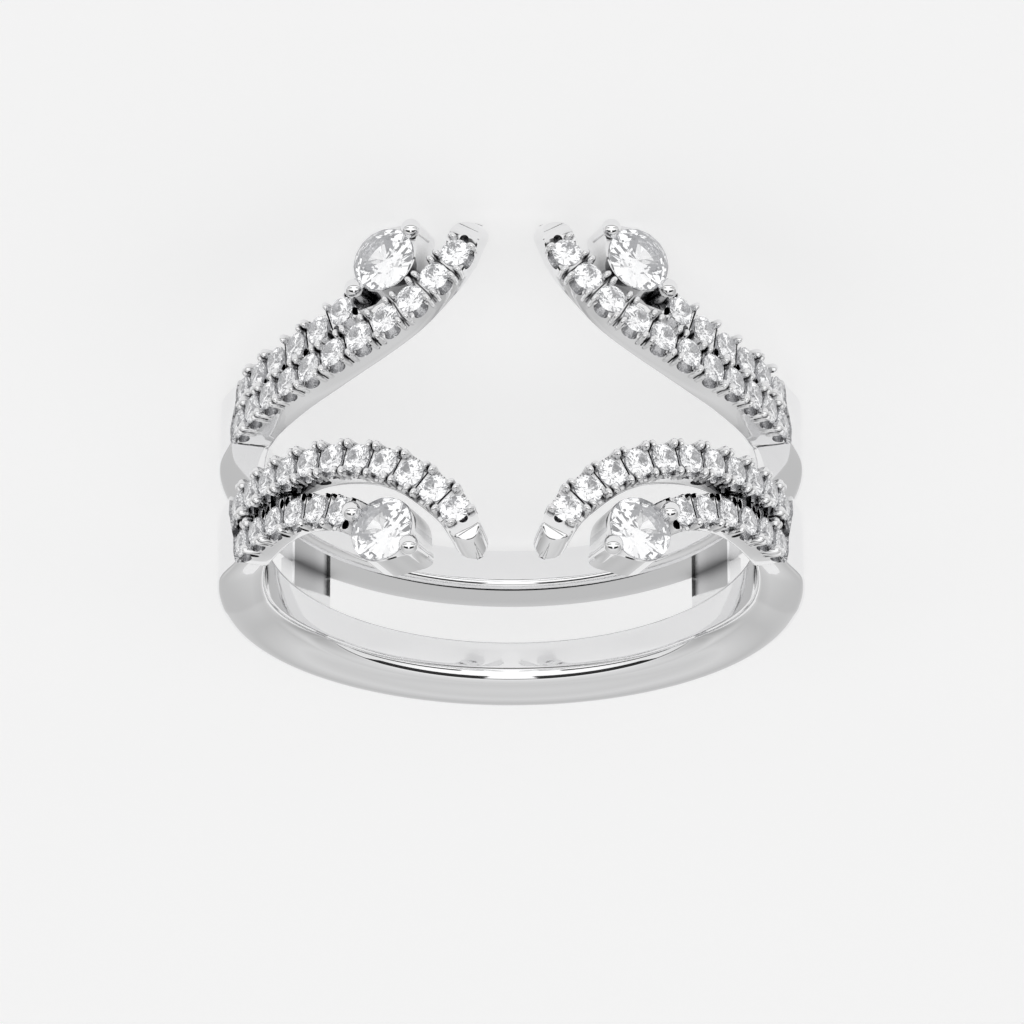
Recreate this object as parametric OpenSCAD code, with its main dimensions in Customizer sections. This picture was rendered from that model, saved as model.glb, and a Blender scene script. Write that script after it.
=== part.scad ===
// Ring guard enhancer: two bands joined by two bridge bars, with four forked shoulders.
// Each fork has a long pave arm beside the middle gap and a short pave arm that ends in a round stone.
// The ring is worked out standing, with its finger hole along Y and its head up, then laid on its side.

/* [Finger hole] */
// Diameter of the finger hole
bore_d = 17.5; // [16.5:0.1:18.5]
// Metal left between the finger hole and the outside, at the bottom of the ring
bottom_wall = 1.94; // [1.8:0.02:2]
// Metal left between the finger hole and the outside, at the sides of the ring
side_wall = 1.72; // [1.6:0.02:1.9]

/* [Bands] */
// Distance from the middle of the ring to the inner face of each band
band_in = 1.05; // [0.9:0.05:1.2]
// Distance from the middle of the ring to the outer face of each band, at the bottom of the ring
band_out = 2.97; // [2.8:0.01:3.1]
// Bevel of the outer corner of a band
band_bevel = 0.3; // [0.2:0.05:0.4]
// Bevel of the edges beside the finger
comfort_ease = 0.3; // [0.2:0.05:0.4]
// Width of a shoulder, from the middle of the ring to its outer face
shoulder_out = 3.64; // [3.5:0.02:3.8]
// Height above the finger hole's centre at which the shoulders fork
fork_z = 3.1; // [2.6:0.1:3.4]

/* [Bridge bars] */
// Angle of each bridge bar from the top of the ring
bridge_angle = 134; // [126:1:142]
// Angle that a bridge bar covers
bridge_span = 11; // [8:1:16]
// How far the inner face of a bridge bar lies under the outside of the bands
bridge_sunk = 0.35; // [0.2:0.05:0.8]
// Thickness of a bridge bar
bridge_wall = 0.65; // [0.5:0.05:1]

/* [Pave arms] */
// Diameter of a pave stone
pave_d = 1.03; // [0.9:0.01:1.04]
// Distance between neighbouring pave stones
pave_pitch = 1.145; // [1.14:0.005:1.16]
// Pave stones on a long arm
long_count = 11; // [9:1:11]
// Pave stones on a short arm
short_count = 6; // [4:1:6]
// Half of an arm's width
arm_half = 0.62; // [0.58:0.01:0.66]
// How far a short arm reaches towards the long arm beside it
short_inner_half = 0.82; // [0.7:0.02:0.9]
// Distance from the middle of the ring to the top edge of a long arm's end
tip_out = 6.02; // [5.9:0.02:6.2]
// Lean of the end of a long arm
tip_lean = 24; // [15:1:30]
// Height of the prongs above the girdle of the stones
prong_rise = 0.1; // [0.05:0.01:0.15]
// Radius of the scallops under the stones
scallop_r = 0.32; // [0.25:0.01:0.36]

/* [Round stones] */
// Diameter of a round stone
round_d = 2.35; // [2.1:0.05:2.4]
// Distance from the finger hole's centre to a round stone's girdle
round_girdle_r = 9.6; // [9.5:0.05:9.8]
// Angle of a round stone from the top of the ring
round_angle = 27.8; // [26:0.2:29]
// Distance of a round stone from the middle of the ring
round_side = 5.3; // [5.2:0.05:5.4]
// Direction of the prongs in the stone's plane, from along the ring to outwards
prong_direction = 39; // [35:1:43]
// Radius of a ball prong
ball_r = 0.33; // [0.3:0.01:0.36]
// Distance of a ball prong from the stone's middle
ball_reach = 1.45; // [1.4:0.01:1.5]

/* [Hidden] */
$fn = 64;

// Clearance between a stone and its seat
seat_gap = 0.03;
// Distance past a face that a cutter runs
past = 1;
// Length of a cutter or a disc that runs right across the ring
across = 20;
bore_r = bore_d / 2;
// The arms and settings stand back from the finger by this much more than the bands
head_relief = 0.03;

// The bands' outside is an arc set lower than the finger hole, so the bottom is thicker than the sides
band_r = bore_r + side_wall;
band_drop = bottom_wall - side_wall;
bottom_z = -bore_r - bottom_wall;
// Lowest point at which an arm is cut from its arc
arm_start_z = 1.8;
arm_top_z = 12;
// Angle at which an arm's line runs straight back into the shoulder
fork_angle = 72;
shoulder_x = 11.5;

// Line of a long row: angle from the top of the ring, distance from the middle of the ring
LONG_LINE = [
  [9, 5.9],
  [12, 4.92],
  [17, 4.03],
  [24, 3.1],
  [34, 2.36],
  [48, 1.84],
  [72, 1.64]
];
long_first_angle = 11.6;

// Line of a short row: angle from the top of the ring, distance from the middle of the ring
SHORT_LINE = [
  [28, 5.3],
  [34, 4.55],
  [40, 3.93],
  [47, 3.5],
  [56, 3.22],
  [72, 3.04]
];
short_first_angle = 39.7;

// Outer face of a band: it leans outwards from the bottom of the ring up to the widest height,
// and goes on nearly straight up to the fork
widest_z = -1.5;
widest_out = shoulder_out - 0.04;
face_lean = atan((widest_out - band_out) / (widest_z - bottom_z));

// Wall round a round stone: direction in its plane (0 along the ring to the head, 90 outwards),
// distance at the foot, distance at the rim, height of the rim under the girdle
SETTING_WALL = [
  [0, 1.42, 1.27, 0.12],
  [18, 1.52, 1.36, 0.12],
  [31, 1.74, 1.6, 0.08],
  [40, 1.9, 1.78, 0.05],
  [48, 1.78, 1.64, 0.08],
  [60, 1.55, 1.4, 0.12],
  [78, 1.4, 1.27, 0.12],
  [100, 1.34, 1.22, 0.12],
  [130, 1.3, 1.2, 0.12],
  [160, 1.3, 1.2, 0.12],
  [190, 1.3, 1.22, 0.12],
  [219, 1.3, 1.25, 0.12],
  [245, 1.3, 1.22, 0.12],
  [275, 1.3, 1.2, 0.12],
  [305, 1.3, 1.2, 0.12],
  [335, 1.35, 1.22, 0.12]
];
setting_foot_r = bore_r - head_relief;

// Angles over which a band's edges are bevelled, centred at the bottom of the ring
inner_edge_span = 200;
outer_edge_span = 176;

// Proportions of a cut stone, as shares of its diameter
table_share = 0.57;
crown_share = 0.15;
girdle_share = 0.04;
pave_depth_share = 0.42;
round_depth_share = 0.37;
// A seat follows its stone to this share of the depth, and a drilled hole goes on from there
seat_share = 0.75;
drill_r = 0.5;
drill_depth = 2;

// Smooth value at x of a table of [x, value] rows
function slope(t, i) =
  let (lo = max(i - 1, 0), hi = min(i + 1, len(t) - 1))
  (t[hi][1] - t[lo][1]) / (t[hi][0] - t[lo][0]);
function segment(t, x, i = 0) = i >= len(t) - 2 || x <= t[i + 1][0] ? i : segment(t, x, i + 1);
function smooth(t, x) =
  let (
    i = segment(t, x),
    h = t[i + 1][0] - t[i][0],
    u = (x - t[i][0]) / h
  )
  t[i][1] * (1 + 2 * u) * (1 - u) * (1 - u) + t[i + 1][1] * u * u * (3 - 2 * u)
  + h * slope(t, i) * u * (1 - u) * (1 - u) - h * slope(t, i + 1) * u * u * (1 - u);

// Wall of each row's arc, from the finger hole to the girdles, and how far the arc is set lower than the hole
long_row_wall = 1.55;
long_row_drop = 0.6;
short_row_wall = 1.63;
short_row_drop = 1.27;
// A row of stones: its line, the radius of the arc that its girdles lie on, and how far the arc is set lower
LONG_ROW = [LONG_LINE, bore_r + long_row_wall, long_row_drop];
SHORT_ROW = [SHORT_LINE, bore_r + short_row_wall, short_row_drop];
// Angle between the points of each arm's line
long_arm_step = 3;
short_arm_step = 4;

// Distance of a row from the middle of the ring, at an angle from the top
function side_at(row, a) = smooth(row[0], min(a, fork_angle));
// Distance of a row from the finger hole's centre line
function reach_at(row, a) = sqrt(row[1] * row[1] - pow(row[2] * sin(a), 2)) - row[2] * cos(a);
function place_at(row, a) = [-reach_at(row, a) * sin(a), side_at(row, a), reach_at(row, a) * cos(a)];
// Direction of a row in the stone's plane, from along the ring to outwards
function heading_at(row, a) = atan2(side_at(row, a) - side_at(row, a + 1), reach_at(row, a) * PI / 180);

// Angle one pitch further along a row, found between low and high by halving
function next_angle(row, a, low, high, steps = 16) =
  let (mid = (low + high) / 2)
  steps == 0 ? mid
  : norm(place_at(row, mid) - place_at(row, a)) > pave_pitch ? next_angle(row, a, low, mid, steps - 1)
  : next_angle(row, a, mid, high, steps - 1);
// Angles of n stones that lie one pitch apart along a row
function stone_angles(row, a, n) =
  n == 0 ? [] : concat([a], stone_angles(row, next_angle(row, a, a, a + 12), n - 1));
LONG_ANGLES = stone_angles(LONG_ROW, long_first_angle, long_count);
SHORT_ANGLES = stone_angles(SHORT_ROW, short_first_angle, short_count);

// Line of an arm seen from above, from the shoulder to its end
function arm_plan(row, step) = concat(
  [[-shoulder_x, side_at(row, fork_angle)]],
  [for (a = [fork_angle:-step:row[0][0][0]]) [place_at(row, a).x, place_at(row, a).y]]
);
nose_steps = 10;

// Sideways direction of a plan line at point i, towards the outside of the ring
function plan_side(p, i) =
  let (d = p[min(i + 1, len(p) - 1)] - p[max(i - 1, 0)])
  [-d.y, d.x] / norm(d);

// Outline of an arm: its line widened by inner towards the middle and by outer away from it, with a round end
function arm_outline(p, inner, outer) =
  let (
    last = len(p) - 1,
    side = plan_side(p, last),
    ahead = [side.y, -side.x]
  )
  concat(
    [for (i = [0:last]) p[i] - inner * plan_side(p, i)],
    [for (k = [1:nose_steps - 1])
      p[last] - inner * cos(k * 180 / nose_steps) * side + inner * sin(k * 180 / nose_steps) * ahead],
    [for (i = [last:-1:0]) p[i] + outer * plan_side(p, i)]
  );

// Point of a setting's wall in the ring, from its direction, distance and height
function setting_point(direction, distance, height) =
  let (along = distance * cos(direction), out = distance * sin(direction))
  [
    along * cos(round_angle) - height * sin(round_angle),
    round_side + out,
    along * sin(round_angle) + height * cos(round_angle)
  ];
FOOT_RING = [for (w = SETTING_WALL) setting_point(w[0], w[1], setting_foot_r)];

// The ring rests on the feet of two settings and on the bevelled corner at the bottom of one band
corner_y = band_out + band_bevel * sin(face_lean);
corner_z = bottom_z + band_bevel * cos(face_lean);
lay_tilt = max([for (p = FOOT_RING) atan2(p.y - corner_y, p.z - corner_z)]);
rest_height = corner_y * cos(lay_tilt) - corner_z * sin(lay_tilt);

// Reach of the lying ring, from the finger hole's centre, towards its head and towards its bottom
long_top_r = LONG_ROW[1] + prong_rise;
head_reach = max([for (p = arm_outline(arm_plan(LONG_ROW, long_arm_step), arm_half, arm_half)) if (abs(p.x) < bore_r / 2)
  (sqrt(long_top_r * long_top_r - p.x * p.x) - LONG_ROW[2]) * cos(lay_tilt) + min(p.y, tip_out) * sin(lay_tilt)]);
tail_reach = -bottom_z * cos(lay_tilt) + (band_out - band_bevel) * sin(lay_tilt);

// Lays the standing ring on its side, head forward and raised by the tilt
module laid() {
  translate([0, (head_reach - tail_reach) / 2, rest_height])
    rotate([-lay_tilt, 0, 0]) rotate([0, 180, 0]) rotate([90, 0, 0]) children();
}

// Puts a shape of the back left quarter in the named quarter
module quarter(front, right) {
  mirror([right ? 1 : 0, 0, 0]) mirror([0, front ? 1 : 0, 0]) children();
}

// Stands a shape on the ring, its Z outwards, its X along the ring to the head
module on_ring(a, side, reach) {
  rotate([0, -a, 0]) translate([0, side, reach]) children();
}

module on_row(row, a) {
  on_ring(a, side_at(row, a), reach_at(row, a)) rotate([0, 0, heading_at(row, a)]) children();
}

// Cut stone with its girdle at the origin: an eight-sided table and a girdle of the given number of sides
module cut_stone(d, depth_share, sides) {
  girdle = girdle_share * d / 2;
  table_points = [for (k = [0:7])
    [table_share * d / 2 * cos(k * 45), table_share * d / 2 * sin(k * 45), crown_share * d]];
  girdle_points = [for (h = [girdle, -girdle], k = [0:sides - 1])
    [d / 2 * cos(k * 360 / sides), d / 2 * sin(k * 360 / sides), h]];
  step = sides / 8;
  first_low = 8 + sides;
  culet = 8 + 2 * sides;
  polyhedron(
    points = concat(table_points, girdle_points, [[0, 0, -depth_share * d]]),
    faces = concat(
      [[7, 6, 5, 4, 3, 2, 1, 0]],
      [for (k = [0:7], j = [0:step - 1])
        [8 + (k * step + j + 1) % sides, 8 + k * step + j, k]],
      [for (k = [0:7]) [(k + 1) % 8, 8 + ((k + 1) * step) % sides, k]],
      [for (k = [0:sides - 1]) [8 + (k + 1) % sides, first_low + (k + 1) % sides, first_low + k, 8 + k]],
      [for (k = [0:sides - 1]) [first_low + (k + 1) % sides, culet, first_low + k]]
    )
  );
}

// Disc across the ring, with its centre set lower than the finger hole
module disc(r, drop) {
  translate([0, 0, -drop]) rotate([90, 0, 0]) cylinder(r = r, h = across, center = true, $fn = 128);
}

// Band with its two shoulders, widening from the bottom of the ring up to the forks
module band() {
  low = bottom_z - past;
  low_out = band_out - past * tan(face_lean);
  difference() {
    intersection() {
      disc(band_r, band_drop);
      rotate([90, 0, 90]) translate([0, 0, -shoulder_x]) linear_extrude(2 * shoulder_x) polygon([
        [band_in, low], [low_out, low], [widest_out, widest_z], [shoulder_out, fork_z], [band_in, fork_z]
      ]);
    }
    turned(180, inner_edge_span) translate([bore_r, band_in]) bevel(comfort_ease, 1, 1);
    on_face() {
      translate([0, 0, -bottom_z]) turned(180, outer_edge_span) translate([bore_r, 0]) bevel(comfort_ease, 1, -1);
      translate([0, 0, band_r]) turned(180, outer_edge_span) translate([band_r, 0]) bevel(band_bevel, -1, -1);
    }
  }
}

// Puts a shape on the leaning outer face of a band, with its Z up the face from the bottom of the ring
module on_face() {
  translate([0, band_out, bottom_z]) rotate([-face_lean, 0, 0]) children();
}

// Bevel of the given width taken off a corner at the origin.
// The corner's solid lies towards higher x where out is 1, and towards higher y where up is 1.
module bevel(width, out, up) {
  far = width + past;
  polygon([[-past * out, -past * up], [far * out, -past * up], [-past * out, far * up]]);
}

// Arm under a row: a slice of its disc, with the outline of the row's line seen from above
module arm(row, step, inner, outer) {
  intersection() {
    disc(row[1] + prong_rise, row[2]);
    translate([0, 0, arm_start_z]) linear_extrude(arm_top_z) polygon(arm_outline(arm_plan(row, step), inner, outer));
  }
}

// What the end of a long arm is cut off by: a block that leans over the arm
module arm_end() {
  top_z = long_top_r - LONG_ROW[2];
  translate([0, tip_out, top_z]) rotate([tip_lean, 0, 0]) translate([0, across / 2, 0])
    cube(across, center = true);
}

// Wall that carries a round stone, drawn out to a point beyond its outer prong
module setting() {
  n = len(SETTING_WALL);
  rim = [for (w = SETTING_WALL) setting_point(w[0], w[2], round_girdle_r - w[3])];
  polyhedron(
    points = concat(FOOT_RING, rim, [setting_point(0, 0, round_girdle_r)]),
    faces = concat(
      [[for (k = [0:n - 1]) k]],
      [for (k = [0:n - 1]) [n + (k + 1) % n, n + k, 2 * n]],
      [for (k = [0:n - 1]) [k, n + k, n + (k + 1) % n]],
      [for (k = [0:n - 1]) [k, n + (k + 1) % n, (k + 1) % n]]
    )
  );
}

// Two ball prongs, a little above the girdle, each on a slightly thinner stem
module ball_prongs() {
  stem = 0.7;
  stem_r = ball_r - 0.04;
  above = 0.06;
  on_ring(round_angle, round_side, round_girdle_r) rotate([0, 0, prong_direction]) for (end = [-1, 1])
    translate([end * ball_reach, 0, above]) {
      sphere(r = ball_r, $fn = 32);
      translate([0, 0, -stem]) cylinder(r = stem_r, h = stem, $fn = 32);
    }
}

// Seat of a pave stone, open above, with a scallop across the arm
module pave_seat() {
  r = pave_d / 2 + seat_gap;
  ledge = girdle_share * pave_d / 2 + seat_gap;
  tip_r = 0.06;
  depth = pave_depth_share * pave_d + tip_r;
  scallop_drop = 0.05;
  scallop_length = 1.5;
  translate([0, 0, -ledge]) cylinder(r = r, h = past, $fn = 32);
  translate([0, 0, -depth]) cylinder(r1 = tip_r, r2 = r, h = depth - ledge, $fn = 32);
  translate([0, 0, -scallop_drop]) rotate([90, 0, 0])
    cylinder(r = scallop_r, h = scallop_length, center = true, $fn = 32);
}

// Seat of a round stone: its shape with the clearance, and a hole drilled down to the finger hole
module round_seat() {
  r = round_d / 2 + seat_gap;
  girdle = girdle_share * round_d / 2 + seat_gap;
  crown = crown_share * round_d + seat_gap;
  depth = seat_share * round_depth_share * round_d;
  floor_r = (1 - seat_share) * r + seat_gap;
  on_ring(round_angle, round_side, round_girdle_r) {
    translate([0, 0, girdle]) cylinder(r1 = r, r2 = table_share * r, h = crown - girdle, $fn = 48);
    translate([0, 0, -girdle]) cylinder(r = r, h = 2 * girdle, $fn = 48);
    translate([0, 0, -girdle - depth]) cylinder(r1 = floor_r, r2 = r, h = depth, $fn = 48);
    translate([0, 0, -drill_depth]) cylinder(r = drill_r, h = drill_depth, $fn = 48);
  }
}

// Arms, setting and prongs of a quarter, clear of the finger
module quarter_metal() {
  difference() {
    union() {
      difference() {
        arm(LONG_ROW, long_arm_step, arm_half, arm_half);
        arm_end();
      }
      arm(SHORT_ROW, short_arm_step, short_inner_half, arm_half);
      setting();
      ball_prongs();
    }
    bore(head_relief);
  }
}

// Seats of a quarter's stones
module quarter_seats() {
  for (a = LONG_ANGLES) on_row(LONG_ROW, a) pave_seat();
  for (a = SHORT_ANGLES) on_row(SHORT_ROW, a) pave_seat();
  round_seat();
}

// Finger hole, widened by a relief
module bore(relief) {
  rotate([90, 0, 0]) cylinder(r = bore_r + relief, h = across, center = true, $fn = 128);
}

// Part of a turn about the finger hole's axis, centred at an angle from the top, on the left
module turned(a, span) {
  rotate([-90, 0, 0]) rotate([0, 0, 270 - a - span / 2]) rotate_extrude(angle = span, $fn = 128) children();
}

// Bar between the bands, at their outside, so that a centre ring's band passes between it and the finger
module bridge() {
  overlap = 0.25;
  half = band_in + overlap;
  translate([0, 0, -band_drop]) turned(bridge_angle, bridge_span)
    translate([band_r - bridge_sunk, -half]) square([bridge_wall, 2 * half]);
}

module guard_body() {
  color("#dfe0e2") laid() difference() {
    union() {
      difference() {
        union() {
          for (front = [false, true]) quarter(front, false) band();
          for (right = [false, true]) quarter(false, right) bridge();
        }
        bore(0);
      }
      for (front = [false, true], right = [false, true]) quarter(front, right) quarter_metal();
    }
    for (front = [false, true], right = [false, true]) quarter(front, right) quarter_seats();
  }
}

module round_stone(front, right) {
  color("#f4f7fa") laid() quarter(front, right)
    on_ring(round_angle, round_side, round_girdle_r) cut_stone(round_d, round_depth_share, 16);
}

module long_pave(front, right) {
  color("#eef2f6") laid() quarter(front, right)
    for (a = LONG_ANGLES) on_row(LONG_ROW, a) cut_stone(pave_d, pave_depth_share, 8);
}

module short_pave(front, right) {
  color("#eef2f6") laid() quarter(front, right)
    for (a = SHORT_ANGLES) on_row(SHORT_ROW, a) cut_stone(pave_d, pave_depth_share, 8);
}

guard_body();
round_stone(true, false);  // round_stone_front_left
round_stone(true, true);  // round_stone_front_right
round_stone(false, false);  // round_stone_back_left
round_stone(false, true);  // round_stone_back_right
long_pave(true, false);  // long_pave_front_left
long_pave(true, true);  // long_pave_front_right
long_pave(false, false);  // long_pave_back_left
long_pave(false, true);  // long_pave_back_right
short_pave(true, false);  // short_pave_front_left
short_pave(true, true);  // short_pave_front_right
short_pave(false, false);  // short_pave_back_left
short_pave(false, true);  // short_pave_back_right
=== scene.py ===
import math

import bmesh
import bpy
from mathutils import Matrix, Vector


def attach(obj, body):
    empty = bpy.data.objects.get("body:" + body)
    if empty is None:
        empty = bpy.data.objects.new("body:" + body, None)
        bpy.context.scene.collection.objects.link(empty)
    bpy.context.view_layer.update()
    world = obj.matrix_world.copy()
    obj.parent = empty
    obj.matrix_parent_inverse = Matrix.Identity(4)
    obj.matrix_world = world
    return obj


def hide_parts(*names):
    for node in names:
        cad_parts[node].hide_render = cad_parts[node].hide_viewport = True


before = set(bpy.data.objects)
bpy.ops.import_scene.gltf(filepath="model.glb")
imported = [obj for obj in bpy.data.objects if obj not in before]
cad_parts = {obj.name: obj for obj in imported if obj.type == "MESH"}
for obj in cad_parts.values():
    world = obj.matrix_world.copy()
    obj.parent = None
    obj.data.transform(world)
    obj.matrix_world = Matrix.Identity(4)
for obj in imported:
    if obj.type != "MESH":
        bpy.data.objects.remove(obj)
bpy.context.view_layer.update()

# Sizes are in millimetres on the standing ring: x across, y along the finger hole, z to the head.
# Each shape of a quarter is made at the back left and mirrored to the other three.
MM = 0.001

# Finger hole, walls, and the distance of a band's two faces from the middle of the ring
BORE_R = 8.75
SIDE_WALL = 1.72
BOTTOM_WALL = 1.94
BAND_IN = 1.05
BAND_OUT = 2.97
SHOULDER_OUT = 3.64
SHOULDER_TAPER = 0.04
FORK_Z = 3.1
WIDEST_Z = -1.5
WIDEST_OUT = SHOULDER_OUT - SHOULDER_TAPER
BAND_R = BORE_R + SIDE_WALL
BAND_DROP = BOTTOM_WALL - SIDE_WALL
BAND_BEVEL = 0.3
BOTTOM_Z = -BORE_R - BOTTOM_WALL
FACE_LEAN = math.atan((WIDEST_OUT - BAND_OUT) / (WIDEST_Z - BOTTOM_Z))
HEAD_RELIEF = 0.03

# Rows of small stones
PAVE_D = 1.03
PAVE_PITCH = 1.145
FORK_ANGLE = 72
# A row's line: angle from the top of the ring and distance from its middle, along the finger hole
LONG_LINE = ((9, 5.9), (12, 4.92), (17, 4.03), (24, 3.1), (34, 2.36), (48, 1.84), (72, 1.64))
SHORT_LINE = ((28, 5.3), (34, 4.55), (40, 3.93), (47, 3.5), (56, 3.22), (72, 3.04))
# A row's line, the radius of the arc of its girdles, how far that arc is set lower, first angle and count
LONG_ROW = (LONG_LINE, BORE_R + 1.55, 0.6, 11.6, 11)
SHORT_ROW = (SHORT_LINE, BORE_R + 1.63, 1.27, 39.7, 6)
# The next stone of a row is looked for within this many degrees, by halving them this many times
SEARCH_ANGLE = 12
HALVINGS = 16
ARM_HALF = 0.62
SHORT_INNER_HALF = 0.82
TIP_OUT = 6.02
PRONG_RISE = 0.1

# Round stones and the walls that carry them
ROUND_D = 2.35
ROUND_GIRDLE_R = 9.6
ROUND_ANGLE = 27.8
ROUND_SIDE = 5.3
PRONG_DIRECTION = 39
BALL_R = 0.36
BALL_REACH = 1.45
# Direction in the stone's plane, distance of the wall at the foot, distance at the rim
SETTING_WALL = (
    (0, 1.42, 1.27), (18, 1.52, 1.36), (31, 1.74, 1.6), (40, 1.9, 1.78), (48, 1.78, 1.64),
    (60, 1.55, 1.4), (78, 1.4, 1.27), (100, 1.34, 1.22), (130, 1.3, 1.2), (160, 1.3, 1.2),
    (190, 1.3, 1.22), (219, 1.3, 1.25), (245, 1.3, 1.22), (275, 1.3, 1.2), (305, 1.3, 1.2),
    (335, 1.35, 1.22), (360, 1.42, 1.27),
)
SETTING_FOOT_R = BORE_R - HEAD_RELIEF


def smooth(table, x, column=1):
    """Value at x of a table of rows, as a smooth curve through them."""
    last = len(table) - 1
    i = next(k for k in range(last) if k == last - 1 or x <= table[k + 1][0])

    def slope(k):
        low, high = table[max(k - 1, 0)], table[min(k + 1, last)]
        return (high[column] - low[column]) / (high[0] - low[0])

    span = table[i + 1][0] - table[i][0]
    u = (x - table[i][0]) / span
    return (
        table[i][column] * (1 + 2 * u) * (1 - u) ** 2
        + table[i + 1][column] * u * u * (3 - 2 * u)
        + span * slope(i) * u * (1 - u) ** 2
        - span * slope(i + 1) * u * u * (1 - u)
    )


def ease(low, high, x):
    """0 below low, 1 above high and a smooth step between."""
    u = min(max((x - low) / (high - low), 0), 1)
    return u * u * (3 - 2 * u)


def on_ring(angle, side, reach, heading=0.0):
    """Frame on the ring: X along it to the head, Y outwards from its middle, Z away from the finger."""
    a, h = math.radians(angle), math.radians(heading)
    to_head = Vector((math.cos(a), 0, math.sin(a)))
    outwards = Vector((0, 1, 0))
    up = Vector((-math.sin(a), 0, math.cos(a)))
    forward = math.cos(h) * to_head + math.sin(h) * outwards
    sideways = math.cos(h) * outwards - math.sin(h) * to_head
    place = Matrix((forward, sideways, up)).transposed().to_4x4()
    place.translation = reach * up + side * outwards
    return place


def side_at(row, angle):
    """Distance of a row's line from the middle of the ring, along the finger hole."""
    return smooth(row[0], min(angle, FORK_ANGLE))


def reach_at(row, angle):
    """Distance of a row's girdles from the finger hole's axis."""
    a = math.radians(angle)
    return math.sqrt(row[1] ** 2 - (row[2] * math.sin(a)) ** 2) - row[2] * math.cos(a)


def on_row(row, angle):
    """Frame on a row's line, with X along the row."""
    side, reach = side_at(row, angle), reach_at(row, angle)
    heading = math.degrees(math.atan2(side - side_at(row, angle + 1), math.radians(reach)))
    return on_ring(angle, side, reach, heading)


def stone_angles(row):
    """Angles of a row's stones, one pitch apart, each found by halving."""
    angles = [row[3]]
    while len(angles) < row[4]:
        here = on_row(row, angles[-1]).translation
        low, high = angles[-1], angles[-1] + SEARCH_ANGLE
        for _ in range(HALVINGS):
            middle = (low + high) / 2
            if (on_row(row, middle).translation - here).length > PAVE_PITCH:
                high = middle
            else:
                low = middle
        angles.append((low + high) / 2)
    return angles


def setting_point(direction, distance, reach):
    """Point of a setting from its direction, distance and reach from the finger hole's axis."""
    d = math.radians(direction)
    in_plane = Vector((distance * math.cos(d), distance * math.sin(d), 0))
    return on_ring(ROUND_ANGLE, ROUND_SIDE, reach) @ in_plane


def lay_matrix():
    """From the standing ring in millimetres to the ring lying on two settings and one band's bottom."""
    corner_y = BAND_OUT + BAND_BEVEL * math.sin(FACE_LEAN)
    corner_z = BOTTOM_Z + BAND_BEVEL * math.cos(FACE_LEAN)
    feet = [setting_point(w[0], w[1], SETTING_FOOT_R) for w in SETTING_WALL]
    tilt = max(math.atan2(p.y - corner_y, p.z - corner_z) for p in feet)
    s, c = math.sin(tilt), math.cos(tilt)
    tip = on_row(LONG_ROW, LONG_LINE[0][0]).translation
    tip_top = math.sqrt((LONG_ROW[1] + PRONG_RISE) ** 2 - tip.x ** 2) - LONG_ROW[2]
    head_reach = tip_top * c + TIP_OUT * s
    tail_reach = -BOTTOM_Z * c + (BAND_OUT - BAND_BEVEL) * s
    rest_height = corner_y * c - corner_z * s
    rows = (
        (-1, 0, 0, 0),
        (0, -s, -c, (head_reach - tail_reach) / 2),
        (0, -c, s, rest_height),
        (0, 0, 0, 1 / MM),
    )
    return Matrix(rows) * MM


LAY = lay_matrix()
# The round stone of the back left quarter, at its girdle
ROUND_PLACE = on_ring(ROUND_ANGLE, ROUND_SIDE, ROUND_GIRDLE_R)


# Making and joining meshes

def as_object(bm, name):
    """The mesh as an object in the scene, with its normals recalculated."""
    bmesh.ops.recalc_face_normals(bm, faces=bm.faces)
    mesh = bpy.data.meshes.new(name)
    bm.to_mesh(mesh)
    bm.free()
    made = bpy.data.objects.new(name, mesh)
    bpy.context.scene.collection.objects.link(made)
    return made


def loft(rings):
    """Closed skin through rings of points: the first is drawn and extruded to each of the others."""
    bm = bmesh.new()
    count = len(rings[0])
    loop = [bm.verts.new(p) for p in rings[0]]
    edges = [bm.edges.new((loop[i], loop[(i + 1) % count])) for i in range(count)]
    bmesh.ops.contextual_create(bm, geom=edges)
    for ring in rings[1:]:
        made = bmesh.ops.extrude_edge_only(bm, edges=edges)["geom"]
        fresh = {g for g in made if isinstance(g, bmesh.types.BMVert)}
        loop = [next(e.other_vert(v) for e in v.link_edges if e.other_vert(v) in fresh) for v in loop]
        for vert, point in zip(loop, ring):
            vert.co = point
        edges = [bm.edges.get((loop[i], loop[(i + 1) % count])) for i in range(count)]
    bmesh.ops.contextual_create(bm, geom=edges)
    return bm


def turned(profile, sides, place):
    """Solid of revolution about Z from its profile of (radius, height)."""
    rings = []
    for r, h in profile:
        ring = []
        for k in range(sides):
            a = 2 * math.pi * k / sides
            ring.append(place @ Vector((r * math.cos(a), r * math.sin(a), h)))
        rings.append(ring)
    return loft(rings)


def add_to(bm, other, place=None):
    """Adds a copy of another bmesh, moved by a matrix."""
    mesh = bpy.data.meshes.new("copy")
    other.to_mesh(mesh)
    if place is not None:
        mesh.transform(place)
    bm.from_mesh(mesh)
    bpy.data.meshes.remove(mesh)


def combine(body, tool, operation):
    """Joins a tool to the body or cuts it out of the body, and removes the tool."""
    modifier = body.modifiers.new("combine", "BOOLEAN")
    modifier.operation = operation
    modifier.solver = "MANIFOLD"
    modifier.object = tool
    graph = bpy.context.evaluated_depsgraph_get()
    mesh = bpy.data.meshes.new_from_object(body.evaluated_get(graph))
    body.modifiers.clear()
    old = body.data
    body.data = mesh
    bpy.data.meshes.remove(old)
    bpy.data.objects.remove(tool)


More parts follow.
